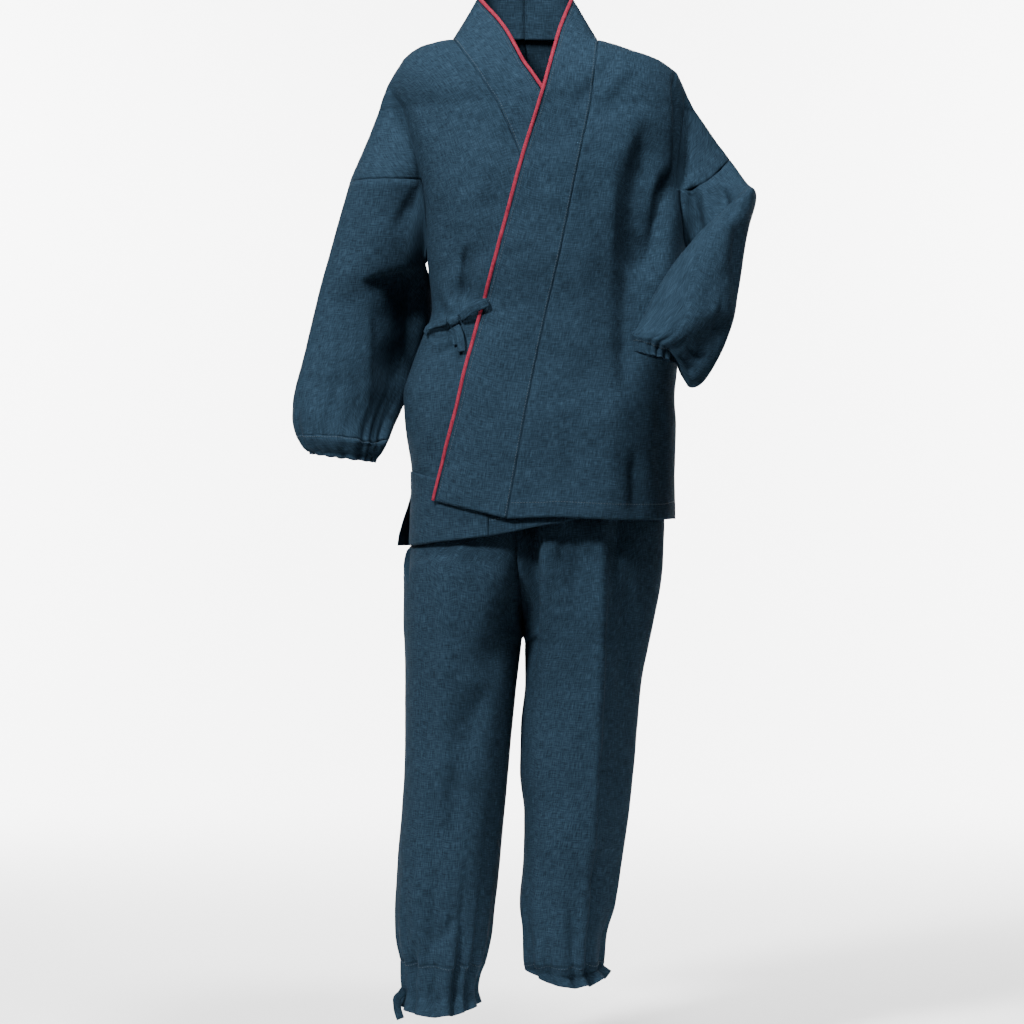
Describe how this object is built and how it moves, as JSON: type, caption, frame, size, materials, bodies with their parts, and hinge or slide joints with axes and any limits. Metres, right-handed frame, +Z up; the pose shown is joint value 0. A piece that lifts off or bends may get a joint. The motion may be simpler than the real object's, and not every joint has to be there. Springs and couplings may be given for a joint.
{
  "type": "samue",
  "caption": "Two-piece working dress of dark slate-blue cotton as it is worn: wrapped and tied jacket with a red-piped collar band, and trousers gathered at the ankles.",
  "frame": {"origin": "inside the neck hole, at the height where the collar band meets the shoulders", "axes": "+Z up along the body, the front faces -Y, and the wearer's left side is at +X"},
  "size_m": [0.6194, 0.3629, 1.3974],
  "materials": {
    "slate_cotton": "matt plain-woven cotton with fine slubs, dark slate blue",
    "red_cotton": "matt cotton piping, dull red"
  },
  "bodies": {
    "root": {"ankle_cord": "slate_cotton", "back_left": "slate_cotton", "back_right": "slate_cotton", "collar_left": "slate_cotton", "collar_right": "slate_cotton", "cuff_left": "slate_cotton", "cuff_right": "slate_cotton", "front_left": "slate_cotton", "front_right": "slate_cotton", "hem_left": "slate_cotton", "hem_right": "slate_cotton", "leg_back_left": "slate_cotton", "leg_back_right": "slate_cotton", "leg_front_left": "slate_cotton", "leg_front_right": "slate_cotton", "piping_left": "red_cotton", "piping_right": "red_cotton", "pocket": "slate_cotton", "sleeve_left": "slate_cotton", "sleeve_right": "slate_cotton", "tie_knot": "slate_cotton", "tie_loop": "slate_cotton", "tie_strap": "slate_cotton", "tie_tail_long": "slate_cotton", "tie_tail_short": "slate_cotton", "waistband": "slate_cotton"}
  },
  "joints": []
}
